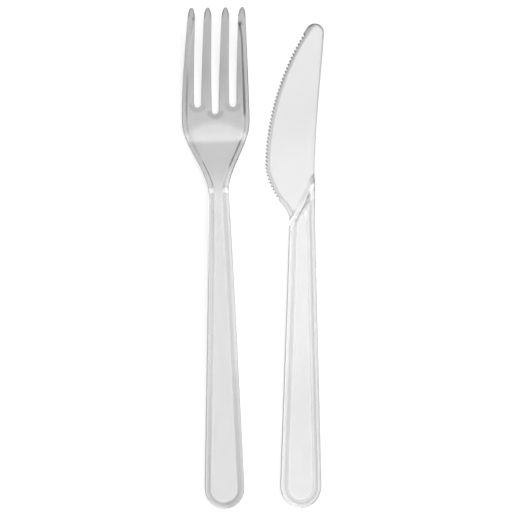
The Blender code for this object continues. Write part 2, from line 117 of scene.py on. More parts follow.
def fork_half_width(along):
    """Half the width of the fork's outline, its slots left out."""
    handle = mix(HANDLE_WIDTH, NECK_WIDTH, (along - END_DEPTH) / (NECK_ALONG - END_DEPTH)) / 2
    shoulder = mix(NECK_WIDTH, HEAD_WIDTH, ease((along - NECK_ALONG) / SHOULDER_LENGTH)) / 2
    draw = (HEAD_WIDTH - TIPS_WIDTH) / 2
    side = HEAD_WIDTH / 2 - draw * taper(np.minimum(along, POINTS_START)) / taper(POINTS_START)
    tine = TINE_TIPS[-1] + (side - TINE_TIPS[-1]) * point_width(along)
    return np.where(along <= NECK_ALONG, handle, np.where(along <= WIDEST, shoulder, tine))


def wall_width(along):
    return mix(HANDLE_WALL, HEAD_WALL, (along - RIM_START) / RIM_RAMP)


def rim_width(along):
    """The outer tines' rims widen towards the tips until they meet in an arch."""
    share = (along - FORK_LENGTH + ARCH_LENGTH) / (ARCH_LENGTH - ARCH_GAP)
    return RIM_WIDTH + ARCH_GAIN * ease(share)


def rim_insets(along, room):
    """Places across a rim and its inner wall, measured in from the edge."""
    rim, wall = rim_width(along), wall_width(along)
    places = (0, SOFT_EDGE, rim * 0.55, rim - BEFORE_CREST, rim, rim + wall / 2, rim + wall,
              rim + wall + PAST_WALL)
    squeeze = min(1.0, RIM_FILL * room / places[-1])
    return [place * squeeze for place in places]


def slot_lines(along):
    """The sides of the three slots, carried on as lines into the palm and the handle."""
    lines = []
    for n, (root, centre, width) in enumerate(zip(SLOT_ROOTS, SLOT_CENTRES, SLOT_WIDTHS)):
        for tip, toward in ((TINE_TIPS[n], 1), (TINE_TIPS[n + 1], -1)):
            start = centre - toward * width / 2
            if along >= root:
                side = mix(start, tip + toward * TINE_WIDTH / 2,
                           (along - root) / (POINTS_START - root))
                side = tip + (side - tip) * point_width(along)
            else:
                panels = [fork_half_width(place) - RIM_WIDTH - wall_width(place)
                          for place in (along, root)]
                side = start * panels[0] / panels[1]
            lines.append(float(side))
    return lines


def fork_places(along):
    """Places across the fork from left to right, and each one's distance to a free edge."""
    outer = float(fork_half_width(along))
    lines = slot_lines(along)
    insets = rim_insets(along, outer - lines[-1])
    stops = [insets[-1] - outer, *lines, outer - insets[-1]]
    places = [inset - outer for inset in insets]
    for n, (start, end) in enumerate(zip(stops, stops[1:])):
        width = end - start
        if n % 2:
            turns = [math.pi * i / SLOT_STEPS for i in range(1, SLOT_STEPS + 1)]
            places += [(start + end - width * math.cos(turn)) / 2 for turn in turns]
            continue
        hold = min(SOFT_EDGE, width / 4) / width
        shares = {0: (0.5, 1 - hold, 1), 6: (hold, 0.5)}.get(n, (hold, 0.35, 0.65, 1 - hold, 1))
        places += [start + width * share for share in shares]
    places += [outer - inset for inset in reversed(insets)]
    gaps = []
    for place in places:
        free = [outer - abs(place)]
        for n, root in enumerate(SLOT_ROOTS):
            if along >= root:
                free += [abs(place - lines[2 * n]), abs(place - lines[2 * n + 1])]
        gaps.append(min(free))
    return places, gaps


def even(start, end, step):
    """Even places from start to end, both kept."""
    return list(np.linspace(start, end, max(2, round((end - start) / step) + 1)))


def fork_stations():
    """Rows along the fork, closer where its form changes."""
    raised = RIM_START + RIM_RAMP
    outer, middle, _ = SLOT_ROOTS
    handle = even(END_DEPTH, HANDLE_ROWS_END, HANDLE_STEP)
    neck = even(NECK_ROWS_START, RIM_START - PAST_WALL, HEAD_STEP)
    rising = [RIM_START, RIM_START + RIM_RAMP / 2, raised, raised + PAST_WALL]
    palm = even(PALM_ROWS_START, middle - 2 * ROOT_STEP, HEAD_STEP)
    roots = [middle - ROOT_STEP, middle - SOFT_EDGE, middle, middle + 1.5 * ROOT_STEP,
             outer - 2 * ROOT_STEP, outer - ROOT_STEP, outer - SOFT_EDGE, outer]
    tines = even(outer + 2 * ROOT_STEP, POINTS_START - 0.0008, HEAD_STEP)
    turns = [math.pi / 2 * i / POINT_STEPS for i in range(POINT_STEPS + 1)]
    points = [POINTS_START + POINT_LENGTH * math.sin(turn) for turn in turns]
    return handle + neck + rising + palm + roots + tines + points


def round_end(across, rise, half, depth, inset):
    """A square's lower half bent into the handle's round end, drawn in by an inset."""
    return (
        (half - inset) * across * math.sqrt(1 - rise * rise / 2),
        depth + (depth - inset) * rise * math.sqrt(1 - across * across / 2),
    )


def end_rows(places, insets, half, depth, steps=4):
    """Rows that close a handle, from its very end up to the first straight row."""
    rim = len(insets)
    foot = half - insets[-1]
    panel = [place / foot for place in places[rim - 1:len(places) - rim + 1]]
    rows = []
    for inset in insets[:-1]:
        side = [round_end(-1, -1, half, depth, inset)] * (rim - 1)
        other = [round_end(1, -1, half, depth, inset)] * (rim - 1)
        middle = [round_end(place, -1, half, depth, inset) for place in panel]
        rows.append([(*point, inset) for point in side + middle + other])
    for step in range(steps):
        rise = step / steps - 1
        side = [(*round_end(-1, rise, half, depth, inset), inset) for inset in insets[:-1]]
        other = [(*round_end(1, rise, half, depth, inset), inset) for inset in insets[:-1]]
        middle = [round_end(place, rise, half, depth, insets[-1]) for place in panel]
        insides = [inner_distance(point, half, depth, insets[-1]) for point in middle]
        middle = [(*point, inside) for point, inside in zip(middle, insides)]
        rows.append(side + middle + other[::-1])
    return rows


def inner_distance(point, half, depth, foot):
    """How far a point of the recessed panel lies from the handle's edge, near enough."""
    across = point[0] / (half - foot)
    along = (point[1] - depth) / (depth - foot)
    return foot + (half - foot) * (1 - min(1.0, math.hypot(across, along)))


def sheet_cells(rows, columns, rim, kept):
    """Quads of a grid of points, its lower corners folded shut where a rim turns them."""
    def key(row, column):
        if row < rim - 1 and column == rim - 1:
            return rim - 1, row
        if row < rim - 1 and column == columns - rim:
            return rim - 1, columns - 1 - row
        return row, column

    cells = []
    for row in range(rows - 1):
        for column in range(columns - 1):
            outside = column < rim - 1 or column >= columns - rim
            if row < rim - 1 and outside or not kept(row, column):
                continue
            corners = ((row, column), (row, column + 1), (row + 1, column + 1), (row + 1, column))
            cells.append([key(*corner) for corner in corners])
    return cells


def solid_cage(name, cells, points, soft):
    """Closes a sheet of quads into a solid: a top, an underside and walls between them."""
    keys = sorted({key for cell in cells for key in cell})
    number = {key: i for i, key in enumerate(keys)}
    count = len(keys)
    tops = [[number[key] for key in cell] for cell in cells]
    directed = {(a, b) for cell in tops for a, b in zip(cell, cell[1:] + cell[:1])}
    free = [edge for edge in directed if (edge[1], edge[0]) not in directed]
    free.sort()
    rims = sorted({vertex for edge in free for vertex in edge})
    upper = {vertex: 2 * count + i for i, vertex in enumerate(rims)}
    lower = {vertex: 2 * count + len(rims) + i for i, vertex in enumerate(rims)}
    faces = tops + [[vertex + count for vertex in reversed(cell)] for cell in tops]
    for a, b in free:
        faces.append([b, a, upper[a], upper[b]])
        faces.append([upper[b], upper[a], lower[a], lower[b]])
        faces.append([lower[b], lower[a], a + count, b + count])
    order = keys + keys + [keys[vertex] for vertex in rims] * 2
    values = [points[key] for key in order]
    mesh = bpy.data.meshes.new(name)
    mesh.from_pydata([(value["x"], value["y"], 0.0) for value in values], [], faces)
    level = [1.0] * count + [0.0] * count + [1.0] * len(rims) + [0.0] * len(rims)
    shift = [0.0] * (2 * count) + [-soft] * len(rims) + [soft] * len(rims)
    fields = {"level": level, "shift": shift}
    for field in values[0]:
        if field not in "xy":
            fields[field] = [value[field] for value in values]
    for field, numbers in fields.items():
        mesh.attributes.new(field, "FLOAT", "POINT").data.foreach_set("value", numbers)
    piece = bpy.data.objects.new(name, mesh)
    bpy.context.scene.collection.objects.link(piece)
    return piece


def fork_cage():
    """The fork's plan as a flat cage: all points know how far they lie from its edges."""
    stations = fork_stations()
    half = float(fork_half_width(END_DEPTH))
    insets = rim_insets(END_DEPTH, half)
    rows = end_rows(fork_places(END_DEPTH)[0], insets, half, END_DEPTH)
    grid = [[(x, y, inset, inset) for x, y, inset in row] for row in rows]
    first = len(grid)
    slots = slot_columns(len(insets))
    for along in stations:
        places, gaps = fork_places(along)
        outer = float(fork_half_width(along))
        row = [(x, along, outer - abs(x), gap) for x, gap in zip(places, gaps)]
        for n, (start, end) in enumerate(slots):
            width = SLOT_WIDTHS[n]
            before = SLOT_ROOTS[n] - along
            if not -SAME <= before < ROOT_BEND:
                continue
            bend = 1 - ease(before / ROOT_BEND)
            for i in range(start, end + 1):
                turn = math.pi * (i - start) / (end - start)
                x, _, inset, gap = row[i]
                row[i] = (x, along - bend * math.sin(turn) * width / 2, inset, gap)
        grid.append(row)
    columns = len(grid[0])

    def kept(row, column):
        if row < first:
            return True
        along = stations[row - first]
        return not any(
            start <= column < end and along >= SLOT_ROOTS[n] - SAME
            for n, (start, end) in enumerate(slots)
        )

    cells = sheet_cells(len(grid), columns, len(insets), kept)
    points = {}
    for cell in cells:
        for row, column in cell:
            x, y, inset, gap = grid[row][column]
            points[row, column] = {"x": x, "y": y, "across": x, "along": y,
                                   "inset": inset, "gap": gap}
    return solid_cage("fork_clear", cells, points, SOFT_EDGE)


def slot_columns(rim):
    """First and last column of each slot: a side tine takes 3 columns, a middle one 5."""
    starts = [rim - 1 + 3 + n * (SLOT_STEPS + 5) for n in range(len(SLOT_ROOTS))]
    return [(start, start + SLOT_STEPS) for start in starts]


class Field:
    """A number at every point of a mesh, as formulas in a node tree."""

    def __init__(self, tree, socket):
        self.tree = tree
        self.socket = socket

    def math(self, operation, *others):
        node = self.tree.nodes.new("ShaderNodeMath")
        node.operation = operation
        for entry, value in zip(node.inputs, (self, *others)):
            if isinstance(value, Field):
                self.tree.links.new(value.socket, entry)
            else:
                entry.default_value = value
        return Field(self.tree, node.outputs[0])

    def __add__(self, other):
        return self.math("ADD", other)

    def __sub__(self, other):
        return self.math("SUBTRACT", other)

    def __mul__(self, other):
        return self.math("MULTIPLY", other)

    def __truediv__(self, other):
        return self.math("DIVIDE", other)

    def within(self):
        return self.math("MAXIMUM", 0.0).math("MINIMUM", 1.0)

    def eased(self):
        share = self.within()
        return share * share * (share * -2.0 + 3.0)

    def mixed(self, start, end):
        return start + (end - start) * self.within()


class Shaping:
    """A geometry node tree under construction, with named inputs for its sizes."""

    def __init__(self, name, sizes):
        self.tree = bpy.data.node_groups.new(name, "GeometryNodeTree")
        self.socket("Geometry", "INPUT", "Geometry")
        self.sizes = {}
        for label, value in sizes.items():
            entry = self.socket(label, "INPUT", "Float")
            entry.default_value = value
            self.sizes[entry.identifier] = value
        self.finish = self.socket("Finish", "INPUT", "Material").identifier
        self.socket("Geometry", "OUTPUT", "Geometry")
        self.inputs = self.tree.nodes.new("NodeGroupInput")

    def socket(self, label, way, kind):
        return self.tree.interface.new_socket(label, in_out=way, socket_type="NodeSocket" + kind)

    def size(self, label):
        return Field(self.tree, self.inputs.outputs[label])

    def stored(self, label):
        node = self.tree.nodes.new("GeometryNodeInputNamedAttribute")
        node.data_type = "FLOAT"
        node.inputs["Name"].default_value = label
        return Field(self.tree, node.outputs["Attribute"])

    def moved(self, x, y, z):
        """Moves every point by the three fields and closes the tree."""
        offset = self.tree.nodes.new("ShaderNodeCombineXYZ")
        for entry, field in zip(offset.inputs, (x, y, z)):
            if isinstance(field, Field):
                self.tree.links.new(field.socket, entry)
        place = self.tree.nodes.new("GeometryNodeSetPosition")
        real = self.tree.nodes.new("GeometryNodeRealizeInstances")
        coat = self.tree.nodes.new("GeometryNodeSetMaterial")
        result = self.tree.nodes.new("NodeGroupOutput")
        links = self.tree.links
        links.new(self.inputs.outputs["Geometry"], place.inputs["Geometry"])
        links.new(offset.outputs[0], place.inputs["Offset"])
        links.new(place.outputs[0], real.inputs[0])
        links.new(real.outputs[0], coat.inputs["Geometry"])
        links.new(self.inputs.outputs["Finish"], coat.inputs["Material"])
        links.new(coat.outputs[0], result.inputs[0])

    def put_on(self, piece, material):
        modifier = piece.modifiers.new(self.tree.name, "NODES")
        modifier.node_group = self.tree
        for identifier, value in self.sizes.items():
            modifier[identifier] = value
        modifier[self.finish] = material


def span(along, start, end, heights, slopes):
    """A cubic between two places with a height and a slope at each, level outside them."""
    run = end - start
    share = ((along - start) / run).within()
    blend = share.eased()
    left = share * -1.0 + 1.0
    return (
        blend * (heights[1] - heights[0]) + heights[0]
        + run * share * left * left * slopes[0]
        - run * share * share * left * slopes[1]
    )


FORK_SIZES = {
    "Length": FORK_LENGTH,
    "Neck Place": 0.1040,
    "Bowl Place": 0.1390,
    "Neck Rise": 0.0040,
    "Tip Rise": 0.0105,
    "Handle Slope": 0.045,
    "Tip Slope": 0.36,
    "Bowl Dish": 0.0007,
    "Handle Web": 0.0013,
    "Head Web": 0.0016,
    "Tip Web": 0.0012,
    "Handle Rim": 0.0027,
    "Head Rim": 0.0022,
    "Tip Rim": 0.0015,
    "Rim Width": RIM_WIDTH,
    "Handle Wall": HANDLE_WALL,
    "Head Wall": HEAD_WALL,
    "Rim Start": RIM_START,
    "Rim Ramp": RIM_RAMP,
    "Neck End": NECK_ALONG,
    "Shoulder Length": SHOULDER_LENGTH,
    "Arch Length": ARCH_LENGTH,
    "Arch Gap": ARCH_GAP,
    "Arch Gain": ARCH_GAIN,
    "Arch Ramp": 0.0006,
    "Outer Tines": OUTER_TINES,
    "Chamfer": 0.00045,
    "Chamfer Width": 0.0006,
    "Point Length": POINT_LENGTH,
}


def fork_shaping():
    """Raises the flat cage: the long curve, the dished bowl, the web and the rim."""
    form = Shaping("raise_fork", FORK_SIZES)
    size = form.size
    along, across = form.stored("along"), form.stored("across")
    inset, gap = form.stored("inset"), form.stored("gap")
    bowl, neck, length = size("Bowl Place"), size("Neck Place"), size("Length")
    zero = neck * 0.0
    handle = span(along, zero, neck, (zero, size("Neck Rise")), (size("Handle Slope"), zero))
    palm = span(along, neck, bowl, (size("Neck Rise"), zero), (zero, zero))
    tines = span(along, bowl, length, (zero, size("Tip Rise")), (zero, size("Tip Slope")))
    past_neck = along.math("GREATER_THAN", neck)
    past_bowl = along.math("GREATER_THAN", bowl)
    rise = handle + (palm - handle) * past_neck
    rise = rise + (tines - rise) * past_bowl

    outward = ((along - bowl) / (length - bowl)).within()
    spread = ((along - size("Neck End")) / size("Shoulder Length")).eased()
    rising = ((along - size("Neck End")) / (bowl - size("Neck End"))).eased()
    fading = outward.eased() * -0.6 + 1.0     # the dish keeps 0.4 of its depth at the tips
    half = inset + across.math("ABSOLUTE")
    lean = across / half
    dish = size("Bowl Dish") * rising * fading * lean * lean

    web = spread.mixed(size("Handle Web"), size("Head Web"))
    web = outward.mixed(web, size("Tip Web"))
    rim = outward.mixed(size("Head Rim"), size("Tip Rim"))
    past_start = (along - size("Rim Start")) / size("Rim Ramp")
    rim = past_start.mixed(size("Handle Rim"), rim)
    wall = past_start.mixed(size("Handle Wall"), size("Head Wall"))
    arch = (along - length + size("Arch Length")) / (size("Arch Length") - size("Arch Gap"))
    width = size("Rim Width") + size("Arch Gain") * arch.eased()
    on_rim = ((width + wall - inset) / wall).within()
    closed = ((along - length + size("Arch Gap")) / size("Arch Ramp")).within()
    outer = across.math("ABSOLUTE").math("GREATER_THAN", size("Outer Tines"))
    on_rim = on_rim.math("MAXIMUM", closed * outer)
    height = on_rim.mixed(web, rim)
    near_tip = ((along - length + size("Point Length")) / size("Point Length") * 2.0).within()
    bevel = (gap / size("Chamfer Width")).within() * -1.0 + 1.0
    height = height - size("Chamfer") * near_tip * bevel
    form.moved(None, None, rise + dish + form.stored("level") * height + form.stored("shift"))
    return form


def ranged(tree, source, low, high, start=0.0, end=1.0):
    """Carries a socket's values from start and end over to low and high."""
    node = tree.nodes.new("ShaderNodeMapRange")
    sizes = {"From Min": start, "From Max": end, "To Min": low, "To Max": high}
    for label, value in sizes.items():
        node.inputs[label].default_value = value
    tree.links.new(source, node.inputs["Value"])
    return node


CLEAR_TINT = (0.975, 0.975, 0.975)
CLEAR_BENDING = 1.59         # refractive index of polystyrene
CLEAR_ROUGHNESS = 0.07
FLOW_SCALE = (900.0, 120.0, 900.0)   # the flow marks are drawn out along the piece
RIPPLE_HEIGHT = 0.00003


def clear_plastic(name):
    """Clear moulded polystyrene: a glossy skin with faint flow marks, greyer where shade is
    painted.
    """
    material = bpy.data.materials.new(name)
    material.use_nodes = True
    tree = material.node_tree
    nodes, links = tree.nodes, tree.links
    skin = nodes["Principled BSDF"]
    skin.inputs["Metallic"].default_value = 0.0
    skin.inputs["IOR"].default_value = CLEAR_BENDING
    skin.inputs["Transmission Weight"].default_value = 1.0
    place = nodes.new("ShaderNodeTexCoord")
    drawn_out = nodes.new("ShaderNodeMapping")
    drawn_out.inputs["Scale"].default_value = FLOW_SCALE
    flow = nodes.new("ShaderNodeTexNoise")
    flow.inputs["Scale"].default_value = 1.0
    flow.inputs["Detail"].default_value = 3.0
    links.new(place.outputs["Object"], drawn_out.inputs["Vector"])
    links.new(drawn_out.outputs[0], flow.inputs["Vector"])
    # The painted shade and light stored on the piece's points
    painted_shading = nodes.new("ShaderNodeAttribute")
    painted_shading.attribute_name = "painted_shading"
    cloud = ranged(tree, flow.outputs["Fac"], 0.94, 1.04)
    shade = Field(tree, painted_shading.outputs["Fac"]) * Field(tree, cloud.outputs["Result"])
    colour = nodes.new("ShaderNodeVectorMath")
    colour.operation = "SCALE"
    colour.inputs[0].default_value = CLEAR_TINT
    links.new(shade.socket, colour.inputs["Scale"])
    links.new(colour.outputs[0], skin.inputs["Base Color"])
    gloss = ranged(tree, flow.outputs["Fac"], CLEAR_ROUGHNESS * 0.6, CLEAR_ROUGHNESS * 1.5)
    links.new(gloss.outputs["Result"], skin.inputs["Roughness"])
    ripple = nodes.new("ShaderNodeBump")
    ripple.inputs["Strength"].default_value = 0.15
    ripple.inputs["Distance"].default_value = RIPPLE_HEIGHT
    links.new(flow.outputs["Fac"], ripple.inputs["Height"])
    links.new(ripple.outputs["Normal"], skin.inputs["Normal"])
    return material


def moulded(cage, shaping, material, turn, node):
    """Shapes and smooths a cage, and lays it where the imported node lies."""
    shaping.put_on(cage, material)
    smoothing = cage.modifiers.new("smoothing", "SUBSURF")
    smoothing.levels = 1
    smoothing.render_levels = 1
    shapes = bpy.context.evaluated_depsgraph_get()
    mesh = bpy.data.meshes.new_from_object(cage.evaluated_get(shapes), depsgraph=shapes)
    cage.modifiers.clear()
    cage.data = mesh
    mesh.transform(Matrix.Rotation(turn, 4, "Z"))
    low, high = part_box(node)
    corners = np.empty(len(mesh.vertices) * 3)
    mesh.vertices.foreach_get("co", corners)
    corners = corners.reshape(-1, 3)
    middle = (corners.min(0) + corners.max(0)) / 2
    centre = (low + high) / 2
    mesh.transform(Matrix.Translation((centre.x - middle[0], centre.y - middle[1],
                                       low.z - corners.min(0)[2])))
    mesh.shade_smooth()
    return cage


def stored(mesh, name):
    values = np.empty(len(mesh.vertices))
    mesh.attributes[name].data.foreach_get("value", values)
    return values


def store_painted_shading(mesh, tone):
    # The painted shade and light of a piece, kept on its points for its material to read
    values = np.minimum(tone, 1.0)
    mesh.attributes.new("painted_shading", "FLOAT", "POINT").data.foreach_set("value", values)


def ramp(value, start, end):
    """0 before a place and 1 past another, with a soft change between them."""
    return ease((value - start) / (end - start))


def stretch(value, places):
    """1 along a stretch: where it starts, is full, starts to fade and is gone."""
    start, full, fading, gone = places
    return ramp(value, start, full) * (1 - ramp(value, fading, gone))


def glow(distance, place, width):
    """1 where a distance comes to a place, fading softly on both sides of it."""
    return np.exp(-((distance - place) / width) ** 2)


def line(distance, place, width, depth):
    """A soft dark line where a distance comes near a place, as the share of light kept."""
    return 1 - depth * glow(distance, place, width)


# Painted shade along the fork's length, and the stretches of its painted light and dark marks
FORK_PAINTED_SHADE_AT = (0.0, 0.1060, 0.1120, 0.1165, 0.1217, 0.1475, 0.1620)
FORK_PAINTED_SHADE = (0.62, 0.60, 0.65, 0.60, 0.53, 0.400, 0.515)
HANDLE_FADE = (0.1135, 0.1155)
HANDLE_END_FADE = (0.0200, 0.0600)
LOW_HANDLE_FADE = (0.0420, 0.0560)
UPPER_HANDLE_FADE = (0.0850, 0.1000)
SHOULDER_GAIN = (0.1350, 0.1380)
TINE_FADE = (0.1385, 0.1425)
RIGHT_TINE_FADE = (0.1400, 0.1425)
UPPER_TINE_FADE = (0.1690, 0.1720)
POINT_FADE = (FORK_LENGTH - 0.0045, FORK_LENGTH - 0.0020)
# Where the painted highlight band across the bowl lies
HIGHLIGHT_BAND_FADE = (0.1312, 0.1332)
HIGHLIGHT_BAND_DIM = (0.1335, 0.1365)
HIGHLIGHT_BAND_TOP = 0.1390
HIGHLIGHT_BAND_ARCH = 32.0             # the band's top falls by this times the distance across, squared
RIM_GLINT = (0.1137, 0.1141, 0.1150, 0.1156)
SHOULDERS = (0.1160, 0.1180, *TINE_FADE)
RIGHT_SHOULDER_LINE = (0.1215, 0.1240, 0.1315, 0.1340)
LEFT_SHOULDER_LINE = (0.1152, 0.1170, 0.1242, 0.1268)
RIGHT_NECK_LINE = (0.1145, 0.1160, 0.1195, 0.1215)
LEFT_SHOULDER_PAINTED_SHADE = (0.1255, 0.1285, 0.1340, 0.1370)
LEFT_TINE_LINE = (0.1400, 0.1440, 0.1540, 0.1580)
LEFT_PEAK = 0.0037           # from the tips to where the lines of an outer tine's rim meet
RIGHT_PEAK = 0.0056
PEAK_GAP = 0.0006            # how far that rim's inner line keeps from the slot
SLOT_END_LINE = 0.0010       # how far the dark line round a slot's end keeps from it


def right_side(across):
    """0 on a piece's left half and 1 on its right one, with a soft change in the middle."""
    return ramp(across, -0.001, 0.001)


def tine_painted_light(along, across, inset, gap):
    """Painted light walls and dark lines on the outer tines, their peaks, and all four points."""
    right = right_side(across)
    outer = np.abs(across) > OUTER_TINES
    peak = FORK_LENGTH - mix(LEFT_PEAK, RIGHT_PEAK, right)
    below_peak = 1 - ramp(along, peak - 0.0004, peak + 0.0004)
    near_peak = ramp(along, peak - 0.0042, peak - 0.0012) * below_peak
    on_tine = ramp(along, *TINE_FADE) * below_peak
    wall = rim_width(along) + HEAD_WALL / 2
    painted_light = 1 + 0.14 * on_tine * glow(inset, wall, 0.0006)
    left_depth = 0.24 * stretch(along, LEFT_TINE_LINE) + 0.24 * ramp(along, *UPPER_TINE_FADE)
    depth = mix(left_depth, 0.95 * ramp(along, *RIGHT_TINE_FADE), right)
    painted_light *= line(inset, wall - 0.0002 * (1 - right), 0.00024, on_tine * depth)
    inner = near_peak * (gap < inset) * outer
    painted_light *= line(gap, PEAK_GAP, 0.0002, (0.25 + 0.35 * right) * inner)
    into_peak = np.minimum(inset - wall, 0) + np.minimum(gap - PEAK_GAP, 0)
    painted_light *= line(np.hypot(along - peak, into_peak), 0.0, 0.0007, (0.42 + 0.43 * right) * outer)
    return painted_light * line(gap, 0.0, 0.0005, 0.62 * ramp(along, *POINT_FADE))


def slot_painted_shade(along, across):
    """A painted dark line round each slot's end, on the palm's side, deepest at the middle one."""
    painted_light = 1.0
    for root, centre, width in zip(SLOT_ROOTS, SLOT_CENTRES, SLOT_WIDTHS):
        away = np.hypot(across - centre, along - root) - width / 2
        depth = 0.34 if centre == 0 else 0.22
        painted_light *= line(away, SLOT_END_LINE, 0.0007, depth * ramp(root - along, -0.0002, 0.0004))
    return painted_light


def shoulder_painted_light(along, across, inset):
    """Painted light on the shoulders' walls, with a painted dark line at the foot of each."""
    right = right_side(across)
    light = 0.30 + 0.10 * ramp(along, *SHOULDER_GAIN)
    wall = glow(inset, RIM_WIDTH + HEAD_WALL / 2, 0.0005)
    painted_light = 1 + stretch(along, SHOULDERS) * light * wall
    right_line = right * stretch(along, RIGHT_SHOULDER_LINE)
    left_line = (1 - right) * stretch(along, LEFT_SHOULDER_LINE)
    neck_line = right * stretch(along, RIGHT_NECK_LINE)
    depth = 0.88 * right_line + 0.72 * left_line + 0.22 * neck_line
    painted_light *= line(inset, RIM_WIDTH + HEAD_WALL, 0.00023, depth)
    painted_light *= line(inset, RIM_WIDTH / 2, 0.0006, 0.06 * right_line)
    # A soft patch of painted shade inside the left shoulder's rim
    painted_shade_patch = (1 - right) * stretch(along, LEFT_SHOULDER_PAINTED_SHADE)
    return painted_light * line(inset, RIM_WIDTH + 0.0006, 0.0007, 0.15 * painted_shade_patch)


def fork_handle_painted_light(along, across, inset):
    """Painted light walls and left edge on the handle, painted greyer rims and fine dark lines."""
    handle = 1 - ramp(along, *HANDLE_FADE)
    right = right_side(across)
    left = 1 - right
    painted_light = 1 + handle * 0.34 * glow(inset, RIM_WIDTH + HANDLE_WALL * 0.7, 0.0006)
    painted_light *= 1 + handle * left * 0.15 * glow(inset, RIM_WIDTH + 0.0002, 0.0005)
    painted_light *= 1 + handle * left * 0.28 * (1 - ramp(inset, 0.0001, 0.0004))
    upper_left = left * ramp(along, *UPPER_HANDLE_FADE)
    painted_light *= line(inset, 0.0008, 0.0006, handle * (0.11 + 0.08 * upper_left))
    painted_light *= line(inset, RIM_WIDTH + HANDLE_WALL, 0.0002, 0.18 * handle * right)
    near_end = handle * (1 - ramp(along, *HANDLE_END_FADE))
    painted_light *= line(inset, RIM_WIDTH - 0.0003 * left, 0.00025, (0.34 - 0.22 * right) * near_end)
    low_right = handle * right * (1 - ramp(along, *LOW_HANDLE_FADE))
    return painted_light * line(inset, 0.0006, 0.0004, 0.26 * low_right)


def fork_painted_shading(mesh):
    """Painted shade and light on the fork: greyer tines, a bright band, a rim glint, dark lines."""
    along, across = stored(mesh, "along"), stored(mesh, "across")
    inset, gap = stored(mesh, "inset"), stored(mesh, "gap")
    tone = np.interp(along, FORK_PAINTED_SHADE_AT, FORK_PAINTED_SHADE)
    # A painted highlight: a bright band across the bowl, arched across it
    top = HIGHLIGHT_BAND_TOP - HIGHLIGHT_BAND_ARCH * across ** 2
    band = stretch(along, (*HIGHLIGHT_BAND_FADE, top - 0.0016, top + 0.0018))
    tone += band * (0.20 - 0.06 * ramp(along, *HIGHLIGHT_BAND_DIM))
    tone *= tine_painted_light(along, across, inset, gap) * slot_painted_shade(along, across)
    tone *= shoulder_painted_light(along, across, inset) * fork_handle_painted_light(along, across, inset)
    glint = stretch(along, RIM_GLINT) * np.exp(-((inset - RIM_WIDTH / 2) / 0.0007) ** 4)
    store_painted_shading(mesh, tone + (1 - tone) * glint)


fork_finish = clear_plastic("fork_polystyrene")
fork = moulded(fork_cage(), fork_shaping(), fork_finish, FORK_TURN, "fork")
fork_painted_shading(fork.data)
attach(fork, "root")
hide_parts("fork")

# Knife
# One injection moulding in clear polystyrene, flat on its back: a rimmed, recessed handle,
# an oblique bolster, and a thin blade bevelled down to a row of moulded teeth.
KNIFE_LENGTH = 0.1751
KNIFE_TURN = math.radians(-0.33)
KNIFE_HANDLE_WIDTH = 0.0148
KNIFE_END_DEPTH = 0.0080
KNIFE_NECK_WIDTH = 0.0090
HEEL_ALONG = 0.1037          # foot of the concave heel, where the handle ends
HEEL_NOTCH = 0.0002
LAST_TOOTH = Vector((-0.0086, 0.1112))
BELLY = Vector((-0.0136, 0.1242))
SPINE_START = 0.1185
TIP_RADIUS = 0.0033
TIP_OFFSET = 0.0044
TIP_EDGE_LEAN = math.radians(35.0)
LAST_TOOTH_LEAN = math.radians(34.0)
HEEL_LEAN = math.radians(48.0)
TIP_PULL = 0.29              # how far a curve's ends pull it, as a share of its rise
BELLY_PULLS = (0.37, 0.35)
LAST_TOOTH_PULL = 0.35
HEEL_PULLS = (0.42, 0.30)
SPINE_PULLS = (0.37, 0.27)
LEAST_SLANT = 0.35           # a row more slanted than this is spaced as if it had this slant
ROW_FILL = 0.9               # most of a row that the points near its two sides may take
TIP_CENTRE = Vector((TIP_OFFSET, KNIFE_LENGTH - TIP_RADIUS))
KNIFE_HEIGHT = 0.0028
KNIFE_WEB = 0.0013
BLADE_THICKNESS = 0.0015
EDGE_DROP = 0.0010           # how much thinner the blade is at its teeth
EDGE_BEVEL = 0.0017
SPINE_DROP = 0.0004
SPINE_BEVEL = 0.0005
KNIFE_RIM = 0.0014
KNIFE_WALL = 0.0012
POCKET_END = 0.1141          # the recess's oblique end at its floor, carried on to the spine
POCKET_SLOPE = 1.84
POCKET_WALL = 0.0008
POCKET_CORNER = 0.0012       # how much of that end is squared off beside the spine
POCKET_TOP = POCKET_END + POCKET_WALL * math.hypot(1, POCKET_SLOPE)
BOLSTER_FOOT = 0.1217        # the bolster's line on the blade, carried on to the spine
BOLSTER_SLOPE = 2.10
BOLSTER_RUN = 0.00186        # how far its wall reaches along the knife
BOLSTER_CORNER = 0.0016      # where that line bends to meet the spine squarely
BOLSTER_BEND = 0.0019
TOOTH_PITCH = 0.00138
TOOTH_DEPTH = 0.0010
PLAIN_PITCHES = 2            # left without teeth beside the tip
TOOTH_BAND = 0.0014          # how far in from the points the teeth reach
KNIFE_FOOT = KNIFE_RIM + KNIFE_WALL   # from the handle's edge to the recess's floor
KNIFE_SOFT_EDGE = 0.00018
KNIFE_STEP = 0.0042          # between rows on the plain handle
SKEW_START = 0.0760          # where its rows begin to turn oblique
SKEW_ROWS = 14
CURVE_STEPS = 60
BELLY_STEPS = 20
HEEL_STEPS = 9               # rows along the heel
TOOTH_ROWS = 4               # rows in one tooth's pitch
BACK_START = BOLSTER_FOOT + 0.0030    # on the spine, opposite the foot of the heel
TIP_ROWS = 7                 # rows that close the tip
TIP_BACK = 25                # degrees of the tip's arc that the blade's rows reach on the spine
TIP_TURNS = (49, 59)         # degrees that the closing rows turn on from the edge and the spine
HANDLE_INSETS = (0, SOFT_EDGE, KNIFE_RIM / 2, KNIFE_RIM - BEFORE_CREST, KNIFE_RIM,
                 KNIFE_RIM + KNIFE_WALL / 2, KNIFE_FOOT, KNIFE_FOOT + PAST_WALL)
